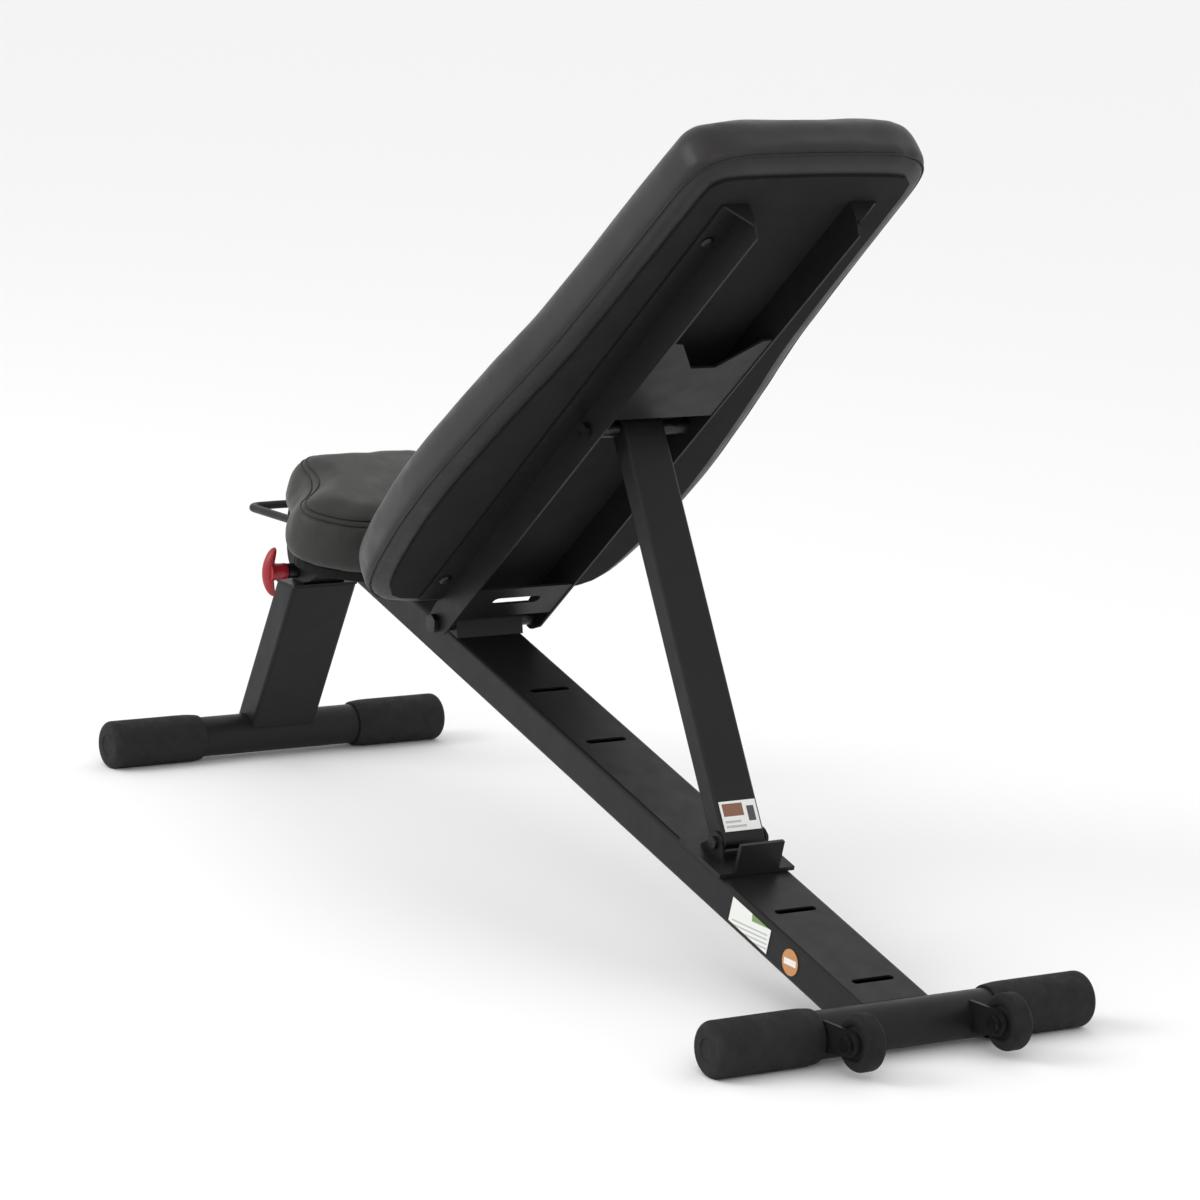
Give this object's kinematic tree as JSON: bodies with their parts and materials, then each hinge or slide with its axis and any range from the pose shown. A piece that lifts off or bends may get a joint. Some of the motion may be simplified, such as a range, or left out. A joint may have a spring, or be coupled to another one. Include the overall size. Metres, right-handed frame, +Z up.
{
  "type": "adjustable weight bench",
  "caption": "Adjustable incline weight bench: padded back on a slotted sloping tube with prop strut, padded seat, fold-down front leg with pull pin, rubber feet and transport wheels.",
  "frame": {"origin": "centre of the footprint at floor level, bottom centre of the bounding box", "axes": "+X towards the rear foot and wheels, +Y across the bench, +Z up"},
  "size_m": [1.5843, 0.508, 1.0035],
  "materials": {
    "black_paint": "black powder coat, satin",
    "hardware": "blackened steel fasteners",
    "foot_rubber": "black moulded rubber",
    "wheel_rubber": "black rubber",
    "back_vinyl": "black vinyl, soft sheen",
    "seat_vinyl": "black vinyl, soft sheen",
    "backing": "dark woven backing",
    "red_grip": "red moulded plastic",
    "plastic_cap": "black moulded plastic",
    "label": "plain printed sticker",
    "badge": "plain round sticker"
  },
  "bodies": {
    "frame": {"main_tube": "black_paint", "main_tube_cap": "plastic_cap", "rear_foot_tube": "black_paint", "rear_sleeve_left": "foot_rubber", "rear_sleeve_right": "foot_rubber", "wheel_bracket_left": "black_paint", "wheel_bracket_right": "black_paint", "wheel_bolt_left": "hardware", "wheel_bolt_right": "hardware", "wheel_nut_left": "hardware", "wheel_nut_right": "hardware", "fold_bracket": "black_paint", "fold_bolt": "hardware", "fold_nut": "hardware", "pin_barrel": "hardware", "front_handle": "black_paint", "hinge_barrel": "black_paint", "hinge_bolt": "hardware", "hinge_nut": "hardware", "hinge_spacer_left": "hardware", "hinge_spacer_right": "hardware", "seat_board": "backing", "seat_pad": "seat_vinyl", "tube_label": "label", "tube_badge": "badge"},
    "front_leg": {"leg_tube": "black_paint", "leg_head": "black_paint", "front_foot_tube": "black_paint", "front_sleeve_left": "foot_rubber", "front_sleeve_right": "foot_rubber"},
    "back": {"rail_left": "black_paint", "rail_right": "black_paint", "upper_cross_plate": "black_paint", "lower_cross_plate": "black_paint", "strut_bolt": "hardware", "strut_nut": "hardware", "strut_bush_left": "hardware", "strut_bush_right": "hardware", "board_screw_left_1": "hardware", "board_screw_left_2": "hardware", "board_screw_right_1": "hardware", "board_screw_right_2": "hardware", "back_board": "backing", "back_pad": "back_vinyl"},
    "strut": {"strut_tube": "black_paint", "strut_label": "label"},
    "saddle": {"saddle": "black_paint", "saddle_pin": "hardware"},
    "pull_pin": {"pin_shaft": "hardware", "pin_handle": "red_grip"},
    "wheel_left": {"wheel_left": "wheel_rubber"},
    "wheel_right": {"wheel_right": "wheel_rubber"}
  },
  "joints": [
    {"name": "recline", "type": "hinge", "parent": "frame", "child": "back", "pos_m": [-0.22468, 0, 0.29683], "axis": [0, 1, 0], "range_deg": [0, 34]},
    {"name": "strut_swing", "type": "hinge", "parent": "back", "child": "strut", "pos_m": [0.10261, 0, 0.59538], "axis": [0, 1, 0], "range_deg": [-61.5, 0]},
    {"name": "saddle_tilt", "type": "hinge", "parent": "strut", "child": "saddle", "pos_m": [0.36189, 0, 0.1572], "axis": [0, 1, 0], "range_deg": [0, 27.5]},
    {"name": "leg_fold", "type": "hinge", "parent": "frame", "child": "front_leg", "pos_m": [-0.63437, 0, 0.31072], "axis": [0, -1, 0], "range_deg": [0, 90]},
    {"name": "pin_pull", "type": "slide", "parent": "frame", "child": "pull_pin", "axis": [0, -1, 0], "range_m": [0, 0.014], "stiffness_N_per_m": 700, "springref_m": -0.004},
    {"name": "wheel_left_spin", "type": "hinge", "parent": "frame", "child": "wheel_left", "pos_m": [0.75985, -0.099, 0.04072], "axis": [0, 1, 0], "continuous": true},
    {"name": "wheel_right_spin", "type": "hinge", "parent": "frame", "child": "wheel_right", "pos_m": [0.75985, 0.099, 0.04072], "axis": [0, 1, 0], "continuous": true}
  ],
  "couplings": [
    {"joint": "strut_swing", "follows": "recline", "ratio": -1.7886},
    {"joint": "saddle_tilt", "follows": "recline", "ratio": 0.7886}
  ]
}
